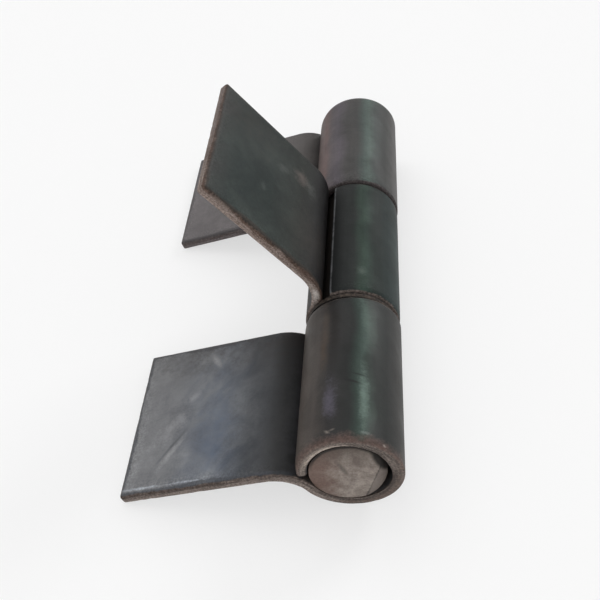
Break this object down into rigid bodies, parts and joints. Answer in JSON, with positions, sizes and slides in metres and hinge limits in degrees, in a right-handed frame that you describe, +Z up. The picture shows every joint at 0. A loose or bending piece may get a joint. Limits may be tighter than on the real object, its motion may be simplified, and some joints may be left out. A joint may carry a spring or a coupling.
{
  "type": "weld-on hinge",
  "caption": "Weld-on strap hinge: undrilled steel leaves, each rolled into a knuckle at one end, turn on a loose round pin with a bearing washer.",
  "frame": {"origin": "on the surface the hinge lies on, under the middle of its length and width", "axes": "+Y along the pin from the bottom knuckle to the top one, +Z up, outer leaves towards -X"},
  "size_m": [0.0768, 0.153, 0.0663],
  "materials": {
    "leaf_steel": "dark hot-rolled mill scale with scuffs and brown sheared edges",
    "pin_steel": "bare cropped bar, dull warm grey",
    "washer_steel": "bare stamped ring, brownish"
  },
  "bodies": {
    "bottom": {"bottom_leaf": "leaf_steel", "hinge_pin": "pin_steel", "bearing_washer": "washer_steel"},
    "middle": {"middle_leaf": "leaf_steel"},
    "top": {"top_leaf": "leaf_steel"}
  },
  "joints": [
    {"name": "middle_swing", "type": "hinge", "parent": "bottom", "child": "middle", "pos_m": [0.0239, 0, 0.0144], "axis": [0, 1, 0], "continuous": true},
    {"name": "top_swing", "type": "hinge", "parent": "bottom", "child": "top", "pos_m": [0.0239, 0, 0.0144], "axis": [0, 1, 0], "continuous": true}
  ]
}
